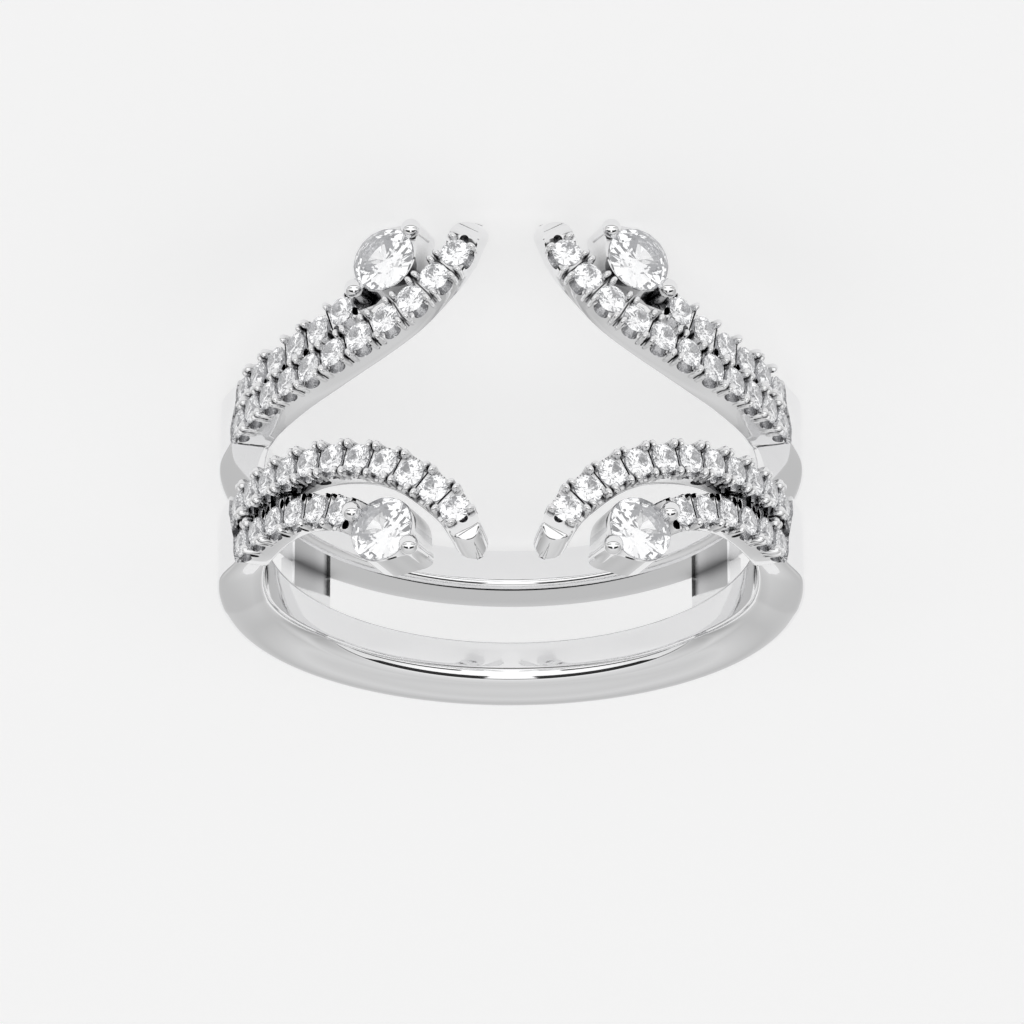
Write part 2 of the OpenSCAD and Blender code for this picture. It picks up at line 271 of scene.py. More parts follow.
def quarter_copy(source, front, right, name):
    """Copy of a back left piece in another quarter."""
    flip = Matrix.Diagonal((-1 if right else 1, -1 if front else 1, 1, 1))
    mesh = source.data.copy()
    mesh.transform(flip)
    if front != right:
        mesh.flip_normals()
    made = bpy.data.objects.new(name, mesh)
    bpy.context.scene.collection.objects.link(made)
    return made


def finish_piece(piece, material, nodes, sharp_angle=None):
    """Lays a piece down, gives it its material and shading and hands it to the frame."""
    piece.data.transform(LAY)
    piece.data.materials.clear()
    piece.data.materials.append(material)
    if sharp_angle is not None:
        piece.data.shade_smooth()
        piece.data.set_sharp_from_angle(angle=math.radians(sharp_angle))
    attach(piece, "root")
    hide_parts(*nodes)


# Bands
# The finger hole's edge at the outer face: its rounding outwards and along the hole, and the share of it
# that is lost towards the shoulders
HOLE_ROUND = (0.5, 0.56)
HOLE_SHRINK = 0.6
HOLE_SHRINK_ANGLES = (84, 140)
# How far that edge lies inside the outer face: at the bottom, and what is added between two heights
HOLE_INSET = (0.3, 0.1)
HOLE_INSET_HEIGHTS = (-8.5, -5.5)
# The rounding of a band's outside corner, and the share of it that is lost towards the shoulders
CORNER_ROUND = 0.35
CORNER_SHRINK = 0.6
CORNER_SHRINK_ANGLES = (82, 104)
# Points along the stretches of a band's section
HOLE_STEPS = 8
GAP_STEPS = 5
FACE_STEPS = 5
CORNER_STEPS = 6
WALL_STEPS = 4
GAP_WALL_STEPS = 3
# The edge of the finger hole at the gap: height of its bevel, slope of the bevel and radius above it
GAP_BEVEL = 0.2
GAP_BEVEL_SLOPE = 60
GAP_EDGE_R = 0.25
GAP_ROUND = 0.3
GAP_SHRINK = 0.75
BAND_TOP = 75.0
BAND_STEP = 1.0
# How far a band's outside sinks towards the rows of small stones: all of it, and its outer part more
ROW_SINK = (0.1, 0.22)
ROW_SINK_SIDES = (1.8, 3.0)
ROW_SINK_END = 85


def face_out(z):
    """Distance of a band's outer face from the middle of the ring, at a height."""
    if z < WIDEST_Z:
        return BAND_OUT + (z - BOTTOM_Z) * math.tan(FACE_LEAN)
    return WIDEST_OUT + (SHOULDER_OUT - WIDEST_OUT) * min((z - WIDEST_Z) / (FORK_Z - WIDEST_Z), 1)


def band_section(angle):
    """Section of a band, as points (distance from the finger hole's middle, distance along it)."""
    a = math.radians(angle)
    outside = math.sqrt(BAND_R ** 2 - (BAND_DROP * math.sin(a)) ** 2) - BAND_DROP * math.cos(a)
    from_top = min(angle, 360 - angle)
    z = (BORE_R + outside) / 2 * math.cos(a)
    hole = face_out(z) - HOLE_INSET[0] - HOLE_INSET[1] * ease(*HOLE_INSET_HEIGHTS, z)
    shoulder = 1 - ease(*CORNER_SHRINK_ANGLES, from_top)
    corner = CORNER_ROUND * (1 - CORNER_SHRINK * shoulder)
    gap_corner = GAP_ROUND * (1 - GAP_SHRINK * shoulder)
    narrow = 1 - HOLE_SHRINK * (1 - ease(*HOLE_SHRINK_ANGLES, from_top))
    round_up, round_in = HOLE_ROUND[0] * narrow, HOLE_ROUND[1] * narrow
    inner = hole - round_in
    slope = math.radians(GAP_BEVEL_SLOPE)
    bevel_start = BORE_R + GAP_BEVEL + GAP_EDGE_R * (1 - math.cos(slope))
    bevel_end = BAND_IN + GAP_BEVEL / math.tan(slope) + GAP_EDGE_R * math.sin(slope)
    points = [(bevel_start, BAND_IN)]
    for k in range(GAP_STEPS):
        turn = slope * (1 - k / GAP_STEPS)
        points.append((BORE_R + GAP_EDGE_R * (1 - math.cos(turn)), bevel_end - GAP_EDGE_R * math.sin(turn)))
    points += [(BORE_R, bevel_end + (inner - bevel_end) * k / WALL_STEPS) for k in range(WALL_STEPS)]
    for k in range(HOLE_STEPS + 1):
        turn = math.radians(90 * k / HOLE_STEPS)
        points.append((BORE_R + round_up * (1 - math.cos(turn)), inner + round_in * math.sin(turn)))
    start = BORE_R + round_up
    for k in range(1, FACE_STEPS + 1):
        share = k / FACE_STEPS
        bulge = math.sin(math.radians(90 * share))
        r = start + share * (outside - corner - start)
        points.append((r, hole + (face_out(r * math.cos(a)) - hole) * bulge))
    edge = face_out((outside - corner) * math.cos(a))
    for k in range(1, CORNER_STEPS + 1):
        turn = math.radians(90 * k / CORNER_STEPS)
        points.append((outside - corner * (1 - math.sin(turn)), edge - corner * (1 - math.cos(turn))))
    outer_end = BAND_IN + gap_corner
    for k in range(1, WALL_STEPS):
        points.append((outside, edge - corner + (outer_end - edge + corner) * k / WALL_STEPS))
    for k in range(CORNER_STEPS + 1):
        turn = math.radians(90 * k / CORNER_STEPS)
        r = outside - gap_corner * (1 - math.cos(turn))
        points.append((r, BAND_IN + gap_corner * (1 - math.sin(turn))))
    low, high = bevel_start, outside - gap_corner
    points += [(high + (low - high) * k / GAP_WALL_STEPS, BAND_IN) for k in range(1, GAP_WALL_STEPS)]
    sunk = 1 - ease(BAND_TOP, ROW_SINK_END, from_top)
    section = []
    for r, y in points:
        depth = sunk * (ROW_SINK[0] + ROW_SINK[1] * ease(*ROW_SINK_SIDES, y))
        section.append((r - depth * (r - BORE_R) / (outside - BORE_R), y))
    return section


def band():
    """Band of the back, open at the head from shoulder to shoulder."""
    rings = []
    steps = round((360 - 2 * BAND_TOP) / BAND_STEP)
    for k in range(steps + 1):
        angle = BAND_TOP + k * BAND_STEP
        a = math.radians(angle)
        rings.append([Vector((-r * math.sin(a), y, r * math.cos(a))) for r, y in band_section(angle)])
    return as_object(loft(rings), "band")


# Bridge bars
BRIDGE_ANGLE = 134
BRIDGE_SPAN = 11
BRIDGE_STEPS = 12
BRIDGE_SUNK = 0.35
BRIDGE_WALL = 0.65
BRIDGE_OVERLAP = 0.25
BRIDGE_BEVEL = 0.06
BRIDGE_END = 0.6


def bridge_bars():
    """Two bars at the bands' outside, with bevelled ends."""
    both = bmesh.new()
    inside = BAND_R - BRIDGE_SUNK
    half = BAND_IN + BRIDGE_OVERLAP
    rings = []
    for k in range(-1, BRIDGE_STEPS + 2):
        at_end = k in (-1, BRIDGE_STEPS + 1)
        inset = BRIDGE_BEVEL if at_end else 0
        span = BRIDGE_SPAN if at_end else BRIDGE_SPAN - BRIDGE_END
        share = min(max(k, 0), BRIDGE_STEPS) / BRIDGE_STEPS
        a = math.radians(BRIDGE_ANGLE + (share - 0.5) * span)
        out = Vector((-math.sin(a), 0, math.cos(a)))
        centre = Vector((0, 0, -BAND_DROP))
        low, high = inside + inset, inside + BRIDGE_WALL - inset
        rings.append([
            centre + r * out + Vector((0, y, 0))
            for r, y in ((low, -half), (low, half), (high, half), (high, -half))
        ])
    bar = loft(rings)
    for flip in (1, -1):
        add_to(both, bar, Matrix.Diagonal((flip, 1, 1, 1)))
    bar.free()
    return as_object(both, "bridge_bars")


# Arms
ARM_TOP = -0.05
ARM_EDGE = 0.05
ARM_FOOT_ROUND = 0.16
ARM_FOOT_STEPS = 4
ARM_WALL_STEPS = 3
ARM_START = 81
ARM_STEP = 2.0
# How much narrower an arm gets on each side as it comes to the shoulder
ARM_WAIST = 0.07
ARM_WAIST_ANGLES = (70, 76)
# How much narrower the long and the short arm get on their way into the band
ARM_FADE = (0.3, 0.4)
# How much wider the long arm's foot is than its top, where that begins and where it ends
FLARE = 0.12
FLARE_BEGINS = (10, 25)
FLARE_ENDS = (60, 72)
# Where the short arm widens to its inner side
SHORT_WIDENS = (45, 60)
# The long arm's nose: its radius, how many degrees before the end of the line it starts, and its turn
NOSE_R = 0.58
NOSE_STEPS = 8
NOSE_BACK = 0.4
NOSE_TURN = 86
NOSE_TOP_AHEAD = -0.16
NOSE_FOOT_AHEAD = 0.3
# The bevel at an arm's end starts this far from the middle of the last stone and leans this much
END_BEVEL_START = 0.96
END_BEVEL_LEAN = 26
END_EDGE = 0.05
# The pocket at the arm's end: distance from the last stone and radius, and its two heights
END_POCKET = (0.56, 0.17)
END_POCKET_HEIGHTS = (-0.3, 0.4)
PLATFORM_RISE = 0.08
# Past its last stone the short arm dips before it reaches the setting
SHORT_END = (33.5, 37)
SHORT_END_DROP = 0.5


def arm_section(place, inner, outer, top, flare, ahead=0.0, top_ahead=0.0):
    """Section of an arm in a row's frame: flat top, walls to the finger and a rounded foot.
    The foot lies ahead and the top top_ahead along the arm."""
    reach = place.translation.xz.length
    heading_x = place.col[1].xz.length
    foot_r = BORE_R + HEAD_RELIEF

    def foot(s):
        return math.sqrt(foot_r ** 2 - (s * heading_x) ** 2) - reach

    left, right = -inner - flare, outer
    points = [(-inner + ARM_EDGE, top), (outer - ARM_EDGE, top), (outer, top - ARM_EDGE)]
    low = foot(right) + ARM_FOOT_ROUND
    for k in range(1, ARM_WALL_STEPS):
        points.append((outer, top - ARM_EDGE + (low - top + ARM_EDGE) * k / ARM_WALL_STEPS))
    for k in range(ARM_FOOT_STEPS + 1):
        turn = math.radians(90 * k / ARM_FOOT_STEPS)
        s = right - ARM_FOOT_ROUND * (1 - math.cos(turn))
        points.append((s, foot(s) + ARM_FOOT_ROUND * (1 - math.sin(turn))))
    points.append(((left + right) / 2, foot((left + right) / 2)))
    for k in range(ARM_FOOT_STEPS, -1, -1):
        turn = math.radians(90 * k / ARM_FOOT_STEPS)
        s = left + ARM_FOOT_ROUND * (1 - math.cos(turn))
        points.append((s, foot(s) + ARM_FOOT_ROUND * (1 - math.sin(turn))))
    low = foot(left) + ARM_FOOT_ROUND
    for k in range(1, ARM_WALL_STEPS):
        s = left + flare * k / ARM_WALL_STEPS
        points.append((s, low + (top - ARM_EDGE - low) * k / ARM_WALL_STEPS))
    points.append((-inner, top - ARM_EDGE))
    bottom = foot(0)
    ring = []
    for s, h in points:
        share = min(max((top - h) / (top - bottom), 0), 1)
        ring.append(place @ Vector((top_ahead + (ahead - top_ahead) * share, s, h)))
    return ring


def arm_half(angle, fade):
    """Half of an arm's width, which fades on the way into the band."""
    waist = ARM_WAIST * ease(*ARM_WAIST_ANGLES, angle)
    return ARM_HALF - waist - fade * ease(BAND_TOP, ARM_START, angle)


def long_arm():
    """Arm beside the middle gap, from inside the shoulder to its slanting round nose."""
    rings = []
    angle = ARM_START
    while angle > LONG_LINE[0][0] + ARM_STEP / 2:
        half = arm_half(angle, ARM_FADE[0])
        flare = FLARE * ease(*FLARE_BEGINS, angle) * (1 - ease(*FLARE_ENDS, angle))
        rings.append(arm_section(on_row(LONG_ROW, angle), half, half, ARM_TOP, flare))
        angle -= ARM_STEP
    end = on_row(LONG_ROW, LONG_LINE[0][0] + NOSE_BACK)
    for k in range(NOSE_STEPS + 1):
        turn = math.radians(NOSE_TURN * k / NOSE_STEPS)
        half = NOSE_R * math.cos(turn)
        ahead = NOSE_R * math.sin(turn)
        foot, top = NOSE_FOOT_AHEAD + ahead, NOSE_TOP_AHEAD + ahead
        rings.append(arm_section(end, half, half, PLATFORM_RISE, 0, foot, top))
    bm = loft(rings)
    last = on_row(LONG_ROW, LONG_ROW[3])
    lean = math.radians(END_BEVEL_LEAN)
    normal = last.to_3x3() @ Vector((math.sin(lean), 0, math.cos(lean)))
    point = last @ Vector((END_BEVEL_START, 0, PLATFORM_RISE))
    cut = bmesh.ops.bisect_plane(
        bm, geom=bm.verts[:] + bm.edges[:] + bm.faces[:], plane_co=point, plane_no=normal, clear_outer=True
    )["geom_cut"]
    edges = [g for g in cut if isinstance(g, bmesh.types.BMEdge)]
    bmesh.ops.contextual_create(bm, geom=edges)
    bmesh.ops.bevel(bm, geom=edges, offset=END_EDGE, segments=3, profile=0.5, affect="EDGES", material=-1)
    return as_object(bm, "long_arm")


def short_arm():
    """Arm that carries the short row and ends inside the setting of the round stone."""
    rings = []
    angle = ARM_START
    while angle > ROUND_ANGLE:
        outer = arm_half(angle, ARM_FADE[1])
        inner = ARM_HALF + (SHORT_INNER_HALF - ARM_HALF) * ease(*SHORT_WIDENS, angle)
        top = ARM_TOP - SHORT_END_DROP * (1 - ease(*SHORT_END, angle))
        rings.append(arm_section(on_row(SHORT_ROW, angle), inner, outer, top, 0))
        angle -= ARM_STEP
    return as_object(loft(rings), "short_arm")


# Settings of the round stones
CUP_FOOT = -1.36
CUP_RIM = -0.02
CUP_FOOT_SHARE = 0.91
CUP_EDGE = 0.08
CUP_SIDES = 72
CUP_LEVELS = 6
STEM = 0.7
BALL_RISE = 0.08
# What is cut out of a setting for its stone and the drilled hole below it, as radius and height
ROUND_HOLE_R = 0.5
ROUND_SEAT_R = ROUND_D / 2 + 0.015
ROUND_SEAT = ((ROUND_HOLE_R, -2.2), (ROUND_HOLE_R, -0.62), (ROUND_SEAT_R, -0.05), (ROUND_SEAT_R, 0.6))


def cup_ring(height, inset):
    """Ring of a setting's wall at a height from the girdle, drawn in by an inset."""
    share = (height - CUP_FOOT) / (CUP_RIM - CUP_FOOT)
    ring = []
    for k in range(CUP_SIDES):
        direction = 360 * k / CUP_SIDES
        foot = CUP_FOOT_SHARE * smooth(SETTING_WALL, direction, 1)
        rim = smooth(SETTING_WALL, direction, 2)
        distance = foot + (rim - foot) * share - inset
        d = math.radians(direction)
        ring.append(ROUND_PLACE @ Vector((distance * math.cos(d), distance * math.sin(d), height)))
    return ring


def cup():
    """Wall of a setting, solid inside, with small bevels at its foot and rim."""
    rings = [cup_ring(CUP_FOOT, CUP_EDGE)]
    low, high = CUP_FOOT + CUP_EDGE, CUP_RIM - CUP_EDGE / 2
    for k in range(CUP_LEVELS + 1):
        rings.append(cup_ring(low + (high - low) * k / CUP_LEVELS, 0))
    rings.append(cup_ring(CUP_RIM, CUP_EDGE / 2))
    return as_object(loft(rings), "cup")


def ball_prongs():
    """Two balls on stems, on either side of the round stone."""
    bm = bmesh.new()
    place = ROUND_PLACE @ Matrix.Rotation(math.radians(PRONG_DIRECTION), 4, "Z")
    for end in (-1, 1):
        where = place @ Matrix.Translation((end * BALL_REACH, 0, BALL_RISE))
        made = bmesh.ops.create_uvsphere(bm, u_segments=40, v_segments=24, radius=BALL_R)
        lower = [v for v in made["verts"] if v.co.z < -BALL_R / 2]
        for v in lower:
            v.co.z -= STEM
        bmesh.ops.transform(bm, matrix=where, verts=made["verts"])
    return as_object(bm, "ball_prongs")


def round_seat():
    """What is cut out of a setting for its stone, down to the drilled hole."""
    return as_object(turned(ROUND_SEAT, 64, ROUND_PLACE), "round_seat")


# Seats, scallops and claws of the small stones
SEAT_R = 0.535
# A small stone's seat, as radius and height
ROW_SEAT = ((0.06, -0.5), (SEAT_R, -0.03), (SEAT_R, 0.7))
SCALLOP_R = 0.2
SCALLOP_WIDEN = 1.4
SCALLOP_DROP = 0.15
SCALLOP_FLARE = 0.04
# A scallop is straight this far to both sides, and reaches this far past the arm's walls
SCALLOP_STRAIGHT = 0.3
SCALLOP_PAST = 0.3
SLIT = 0.06
SLIT_DEPTH = 0.34
SLIT_PAST = 0.4
# A claw's half sizes, and the height in it under which it is drawn out to a post
CLAW = (0.125, 0.19, 0.2)
CLAW_POST_TOP = -0.01
CLAW_ALONG = 0.15
CLAW_ASIDE = 0.52
CLAW_RISE = 0.09
CLAW_LENGTH = 0.4
# The claws at a row's end: distances from its first stone along the row and aside
END_CLAW = (0.44, 0.41)


def row_seats(row):
    """Round seats of a row, narrowing almost to a point under each stone."""
    bm = bmesh.new()
    for angle in stone_angles(row):
        seat = turned(ROW_SEAT, 32, on_row(row, angle))
        add_to(bm, seat)
        seat.free()
    return as_object(bm, "row_seats")


def row_scallops(row, inner, outer):
    """Round notches across a row under its stones, a little wider at the walls."""
    bm = bmesh.new()
    across = Matrix.Rotation(math.radians(-90), 4, "X")
    widen = Matrix.Diagonal((SCALLOP_WIDEN, 1, 1, 1))
    wide = SCALLOP_R + SCALLOP_FLARE
    profile = (
        (wide, -inner - SCALLOP_PAST), (SCALLOP_R, -SCALLOP_STRAIGHT),
        (SCALLOP_R, SCALLOP_STRAIGHT), (wide, outer + SCALLOP_PAST),
    )
    for angle in stone_angles(row):
        place = on_row(row, angle) @ Matrix.Translation((0, 0, -SCALLOP_DROP)) @ widen @ across
        notch = turned(profile, 24, place)
        add_to(bm, notch)
        notch.free()
    return as_object(bm, "row_scallops")


def junctions(row):
    """Frames half-way between neighbouring stones of a row."""
    angles = stone_angles(row)
    return [on_row(row, (a + b) / 2) for a, b in zip(angles, angles[1:])]


def row_slits(row, inner, outer):
    """Thin saw cuts across a row between neighbouring stones."""
    bm = bmesh.new()
    for place in junctions(row):
        made = bmesh.ops.create_cube(bm, size=1)
        size = Matrix.Diagonal((SLIT, inner + outer + SLIT_PAST, 1, 1))
        where = place @ Matrix.Translation((0, (outer - inner) / 2, 0.5 - SLIT_DEPTH)) @ size
        bmesh.ops.transform(bm, matrix=where, verts=made["verts"])
    return as_object(bm, "row_slits")


def row_claws(row):
    """Pairs of small claws on both sides of each junction, and a pair at the row's first stone."""
    bm = bmesh.new()
    places = []
    for place in junctions(row):
        for along in (-CLAW_ALONG, CLAW_ALONG):
            for aside in (-CLAW_ASIDE, CLAW_ASIDE):
                places.append(place @ Matrix.Translation((along, aside, CLAW_RISE)))
    first = on_row(row, row[3])
    for aside in (-END_CLAW[1], END_CLAW[1]):
        places.append(first @ Matrix.Translation((END_CLAW[0], aside, CLAW_RISE)))
    for place in places:
        made = bmesh.ops.create_uvsphere(bm, u_segments=12, v_segments=8, radius=1)
        bmesh.ops.scale(bm, vec=CLAW, verts=made["verts"])
        for v in made["verts"]:
            if v.co.z < CLAW_POST_TOP:
                v.co.z -= CLAW_LENGTH
        bmesh.ops.transform(bm, matrix=place, verts=made["verts"])
    return as_object(bm, "row_claws")


def end_pocket():
    """Small round pocket between a long arm's last stone and its end."""
    where = on_row(LONG_ROW, LONG_ROW[3]) @ Matrix.Translation((END_POCKET[0], 0, 0))
    profile = [(END_POCKET[1], height) for height in END_POCKET_HEIGHTS]
    return as_object(turned(profile, 24, where), "end_pocket")


def quarter_metal():
    """Arms, setting, scallops, saw cuts and ball prongs of the back left quarter."""
    metal = long_arm()
    combine(metal, short_arm(), "UNION")
    combine(metal, cup(), "UNION")
    for row, inner in ((LONG_ROW, ARM_HALF), (SHORT_ROW, SHORT_INNER_HALF)):
        combine(metal, row_scallops(row, inner, ARM_HALF), "DIFFERENCE")
        combine(metal, row_slits(row, inner, ARM_HALF), "DIFFERENCE")
    combine(metal, round_seat(), "DIFFERENCE")
    combine(metal, end_pocket(), "DIFFERENCE")
    combine(metal, ball_prongs(), "UNION")
    return metal


def keep_casting(body):
    """Keeps only the largest connected skin of the casting."""
    bm = bmesh.new()
    bm.from_mesh(body.data)
    left = set(bm.verts)
    skins = []
    while left:
        skin = {left.pop()}
        rim = list(skin)
        while rim:
            near = {e.other_vert(v) for v in rim for e in v.link_edges} & left
            left -= near
            skin |= near
            rim = list(near)
        skins.append(skin)
    skins.sort(key=len)
    loose = [v for skin in skins[:-1] for v in skin]
    bmesh.ops.delete(bm, geom=loose, context="VERTS")
    bm.to_mesh(body.data)
    bm.free()


def guard_body():
    """The cast metal as one piece, with the seats and claws of the small stones."""
    back = band()
    body = quarter_copy(back, True, False, "guard_body_metal")
    combine(body, back, "UNION")
    combine(body, bridge_bars(), "UNION")
    quarter = quarter_metal()
    seats = (row_seats(LONG_ROW), row_seats(SHORT_ROW))
    claws = (row_claws(LONG_ROW), row_claws(SHORT_ROW))
    for front in (False, True):
        for right in (False, True):
            combine(body, quarter_copy(quarter, front, right, "quarter"), "UNION")
            for seat in seats:
                combine(body, quarter_copy(seat, front, right, "seats"), "DIFFERENCE")
            for claw in claws:
                combine(body, quarter_copy(claw, front, right, "claws"), "UNION")
    for spent in (quarter, *seats, *claws):
        bpy.data.objects.remove(spent)
    keep_casting(body)
    return body


# Stones
TABLE = 0.57
CROWN = 0.15
GIRDLE = 0.04
STAR_REACH = 0.38
LOWER_REACH = 0.115
MAIN_FACETS = 8
# Depth of a stone under its girdle, as a share of its diameter
PAVE_DEPTH = 0.42
ROUND_DEPTH = 0.37


def cut_plane(bm, azimuth, slope, radius, height):
    """Grinds one facet: keeps what lies under the plane through a point at a slope."""
    a = math.radians(azimuth)
    out = Vector((math.cos(a), math.sin(a), 0))
    normal = (slope * out + Vector((0, 0, 1 if height >= 0 else -1))).normalized()
    point = radius * out + Vector((0, 0, height))
    geometry = bm.verts[:] + bm.edges[:] + bm.faces[:]
    cut = bmesh.ops.bisect_plane(
        bm, geom=geometry, dist=1e-6, plane_co=point, plane_no=normal, clear_outer=True
    )["geom_cut"]
    edges = [g for g in cut if isinstance(g, bmesh.types.BMEdge)]
    if len(edges) > 2:
        bmesh.ops.contextual_create(bm, geom=edges)


def brilliant(depth):
    """Round brilliant of unit diameter, ground facet by facet from a cylinder."""
    bm = bmesh.new()
    bmesh.ops.create_cone(bm, cap_ends=True, segments=32, radius1=0.5, radius2=0.5, depth=2)
    half = GIRDLE / 2
    turn = 360 / MAIN_FACETS
    cosine = math.cos(math.radians(turn / 2))
    half_cosine = math.cos(math.radians(turn / 4))
    bezel = (CROWN - half) / (0.5 - TABLE / 2)
    star_height = half + (0.5 - STAR_REACH * cosine) * bezel
    upper = (star_height - half) / (0.5 * half_cosine - STAR_REACH * half_cosine)
    star = (CROWN - star_height) / (STAR_REACH - TABLE / 2 * cosine)
    main = (depth - half) / 0.5
    lower_height = half + (0.5 - LOWER_REACH * cosine) * main
    lower = (lower_height - half) / ((0.5 - LOWER_REACH) * half_cosine)
    cut_plane(bm, 0, 0, 0, CROWN)
    for k in range(MAIN_FACETS):
        cut_plane(bm, turn * k, bezel, 0.5, half)
        cut_plane(bm, turn * k, main, 0.5, -half)
    for k in range(2 * MAIN_FACETS):
        azimuth = turn / 2 * k + turn / 4
        cut_plane(bm, azimuth, upper, 0.5 * half_cosine, half)
        cut_plane(bm, azimuth, lower, 0.5 * half_cosine, -half)
    for k in range(MAIN_FACETS):
        cut_plane(bm, turn * k + turn / 2, star, TABLE / 2 * cosine, CROWN)
    bmesh.ops.remove_doubles(bm, verts=bm.verts, dist=1e-4)
    return bm


def row_stones(row, name):
    """All stones of a row, as separate solids of one piece."""
    bm = bmesh.new()
    stone = brilliant(PAVE_DEPTH)
    size = Matrix.Diagonal((PAVE_D, PAVE_D, PAVE_D, 1))
    for angle in stone_angles(row):
        add_to(bm, stone, on_row(row, angle) @ size)
    stone.free()
    return as_object(bm, name)


def round_stone(name):
    """Round stone of the back left quarter."""
    bm = bmesh.new()
    stone = brilliant(ROUND_DEPTH)
    size = Matrix.Diagonal((ROUND_D, ROUND_D, ROUND_D, 1))
    add_to(bm, stone, ROUND_PLACE @ size)
    stone.free()
    return as_object(bm, name)


# Materials, light and camera

# White metal: colour of open surfaces and the painted shade of its corners and crevices, and how far that
# shade reaches
METAL_OPEN = (0.89, 0.89, 0.895, 1)
METAL_PAINTED_SHADE = (0.16, 0.16, 0.165, 1)
PAINTED_SHADE_REACH = 0.9 * MM
PAINTED_SHADE_RANGE = (0.3, 0.9)
PAINTED_SHADE_SAMPLES = 6
METAL_SHARP_ANGLE = 30
# Polish: the roughness of its bright and dull places, their scale, and the fine marks left by the wheel
POLISH = (0.035, 0.075)
POLISH_SCALE = 420
MARKS_SCALE = 5200
MARKS_DEPTH = 0.0008 * MM
MARKS_STRENGTH = 0.3
# Stones and floor
WHITE = (1, 1, 1, 1)
STONE_INDEX = 2.2
# Painted light: a faint glow of the stones' own that lifts their dark facets
STONE_PAINTED_GLOW = (0.95, 0.96, 1, 1)
STONE_PAINTED_GLOW_STRENGTH = 0.05
FLOOR_HALF = 3
FLOOR_GREY = (0.6, 0.6, 0.6, 1)
FLOOR_ROUGHNESS = 0.9
FLOOR_GLOW_STRENGTH = 0.49


def white_metal():
    """Polished white metal with painted shade darkening its crevices, and a faint unevenness left by
    polishing.
    """
    material = bpy.data.materials.new("white_metal")
    material.use_nodes = True
    tree = material.node_tree
    surface = tree.nodes["Principled BSDF"]
    surface.inputs["Metallic"].default_value = 1
    # Painted shade: ambient occlusion darkens the base colour in crevices and corners
    painted_shade = tree.nodes.new("ShaderNodeAmbientOcclusion")
    painted_shade.samples = PAINTED_SHADE_SAMPLES
    painted_shade.only_local = True
    painted_shade.inputs["Distance"].default_value = PAINTED_SHADE_REACH
    shade_ramp = tree.nodes.new("ShaderNodeValToRGB")
    shade_ramp.color_ramp.elements[0].position = PAINTED_SHADE_RANGE[0]
    shade_ramp.color_ramp.elements[0].color = METAL_PAINTED_SHADE
    shade_ramp.color_ramp.elements[1].position = PAINTED_SHADE_RANGE[1]
    shade_ramp.color_ramp.elements[1].color = METAL_OPEN
    tree.links.new(painted_shade.outputs["AO"], shade_ramp.inputs["Fac"])
    tree.links.new(shade_ramp.outputs["Color"], surface.inputs["Base Color"])
    place = tree.nodes.new("ShaderNodeTexCoord")
    cloud = tree.nodes.new("ShaderNodeTexNoise")
    cloud.inputs["Scale"].default_value = POLISH_SCALE
    tree.links.new(place.outputs["Object"], cloud.inputs["Vector"])
    gloss = tree.nodes.new("ShaderNodeMapRange")
    gloss.inputs["To Min"].default_value = POLISH[0]
    gloss.inputs["To Max"].default_value = POLISH[1]
    tree.links.new(cloud.outputs["Fac"], gloss.inputs["Value"])
    tree.links.new(gloss.outputs["Result"], surface.inputs["Roughness"])
    marks = tree.nodes.new("ShaderNodeTexNoise")
    marks.inputs["Scale"].default_value = MARKS_SCALE
    tree.links.new(place.outputs["Object"], marks.inputs["Vector"])
    bump = tree.nodes.new("ShaderNodeBump")
    bump.inputs["Strength"].default_value = MARKS_STRENGTH
    bump.inputs["Distance"].default_value = MARKS_DEPTH
    tree.links.new(marks.outputs["Fac"], bump.inputs["Height"])
    tree.links.new(bump.outputs["Normal"], surface.inputs["Normal"])
    return material


def clear_stone():
    """Clear stone with a very faint painted glow of its own that lifts its dark facets."""
    material = bpy.data.materials.new("clear_stone")
    material.use_nodes = True
    surface = material.node_tree.nodes["Principled BSDF"]
    surface.inputs["Base Color"].default_value = WHITE
    surface.inputs["Roughness"].default_value = 0.0
    surface.inputs["IOR"].default_value = STONE_INDEX
    surface.inputs["Transmission Weight"].default_value = 1
    # Painted light: the faint glow brightens the stone's dark facets
    surface.inputs["Emission Color"].default_value = STONE_PAINTED_GLOW
    surface.inputs["Emission Strength"].default_value = STONE_PAINTED_GLOW_STRENGTH
    return material


# Camera, at the photograph's angle to the ring
VIEW_RISE = math.radians(62.96)
VIEW_DISTANCE = 303.0
PIXELS_PER_MM = 28.0
PICTURE = 1024
SENSOR = 36.0
CAMERA_CLIP = (0.01, 50)
# The middle of the ring in the picture, in pixels from its left and from its top
RING_U = 511.0
RING_V = 503.9


def set_camera():
    """Camera that sees the lying ring as the photograph sees the standing one."""
    camera = bpy.data.cameras.new("camera")
    camera.sensor_width = SENSOR
    camera.lens = SENSOR * PIXELS_PER_MM * VIEW_DISTANCE / PICTURE
    camera.shift_x = (PICTURE / 2 - RING_U) / PICTURE
    camera.shift_y = (RING_V - PICTURE / 2) / PICTURE
    camera.clip_start = CAMERA_CLIP[0]
    camera.clip_end = CAMERA_CLIP[1]
    holder = bpy.data.objects.new("camera", camera)
    bpy.context.scene.collection.objects.link(holder)
    lay = LAY.to_3x3().normalized()
    right = lay @ Vector((1, 0, 0))
    back = lay @ Vector((0, -math.cos(VIEW_RISE), math.sin(VIEW_RISE)))
    up = back.cross(right)
    place = Matrix((right, up, back)).transposed().to_4x4()
    place.translation = LAY @ Vector((0, 0, 0)) + VIEW_DISTANCE * MM * back
    holder.matrix_world = place
    bpy.context.scene.camera = holder


